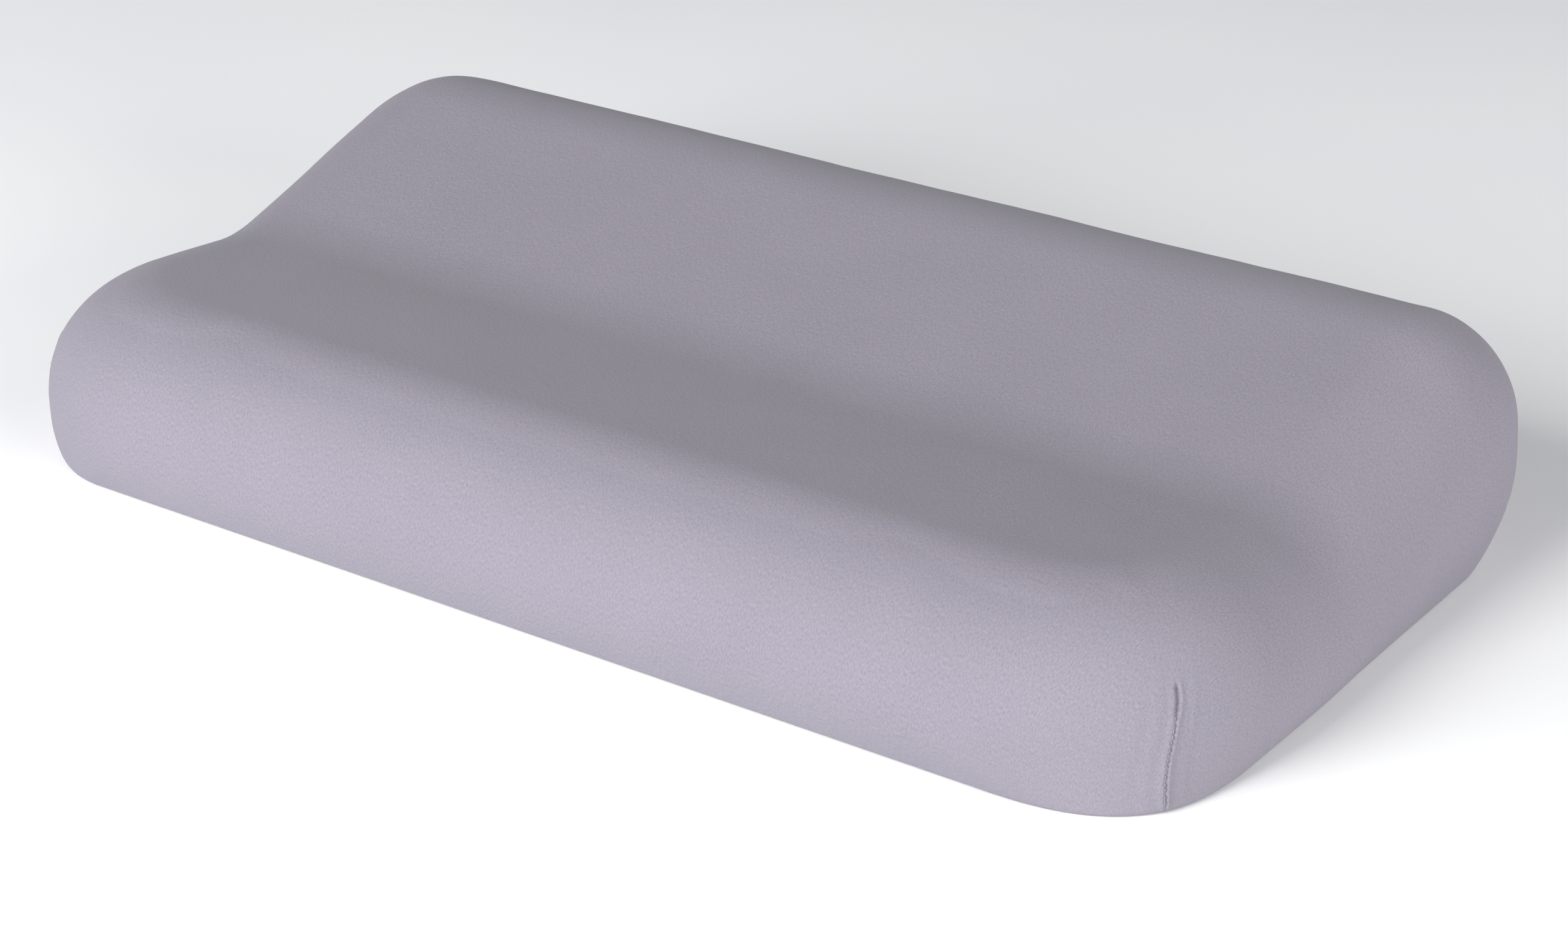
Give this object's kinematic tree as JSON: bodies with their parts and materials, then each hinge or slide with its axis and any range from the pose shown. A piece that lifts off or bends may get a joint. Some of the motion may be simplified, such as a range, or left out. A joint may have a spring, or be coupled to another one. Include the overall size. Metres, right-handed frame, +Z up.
{
  "type": "contoured cervical support pillow",
  "caption": "Contoured foam neck support with a low and a high lobe either side of a head valley, in a liner and a zipped knit cover with darted corners.",
  "frame": {"origin": "centre of the flat base, on the floor", "axes": "+X along the length, +Y from the low front lobe to the high rear lobe where the zip is, +Z up"},
  "size_m": [0.6, 0.355, 0.1025],
  "materials": {
    "cover_knit": "knitted polyester jersey, matt, fine wales",
    "cover_underside": "knitted polyester jersey, matt",
    "liner_tricot": "thin warp-knit tricot, slight sheen",
    "foam": "open-cell viscoelastic foam, matt skin",
    "zip_tape": "woven polyester tape",
    "zip_coil": "polyester monofilament coil, satin",
    "zip_metal": "die-cast zinc, nickel plated",
    "thread": "twisted polyester thread",
    "label": "satin label ribbon, blank"
  },
  "bodies": {
    "pillow": {"foam_core": "foam", "liner_top": "liner_tricot", "liner_base": "liner_tricot", "cover_top": "cover_knit", "cover_base": "cover_underside", "cover_rear_strip": "cover_knit", "zip_tape_upper": "zip_tape", "zip_tape_lower": "zip_tape", "zip_coil_upper": "zip_coil", "zip_coil_lower": "zip_coil", "zip_bottom_stop": "zip_metal", "zip_top_stops": "zip_metal", "zip_seam_threads": "thread", "corner_dart_threads": "thread", "care_label": "label"},
    "slider": {"zip_slider": "zip_metal"},
    "pull_tab": {"zip_pull_tab": "zip_metal"}
  },
  "joints": [
    {"name": "zip_slide", "type": "slide", "parent": "pillow", "child": "slider", "axis": [-1, 0, 0], "range_m": [0, 0.364]},
    {"name": "pull_tab_hinge", "type": "hinge", "parent": "slider", "child": "pull_tab", "pos_m": [0.182, 0.17825, 0.038], "axis": [0, 0, -1], "range_deg": [0, 180]}
  ]
}
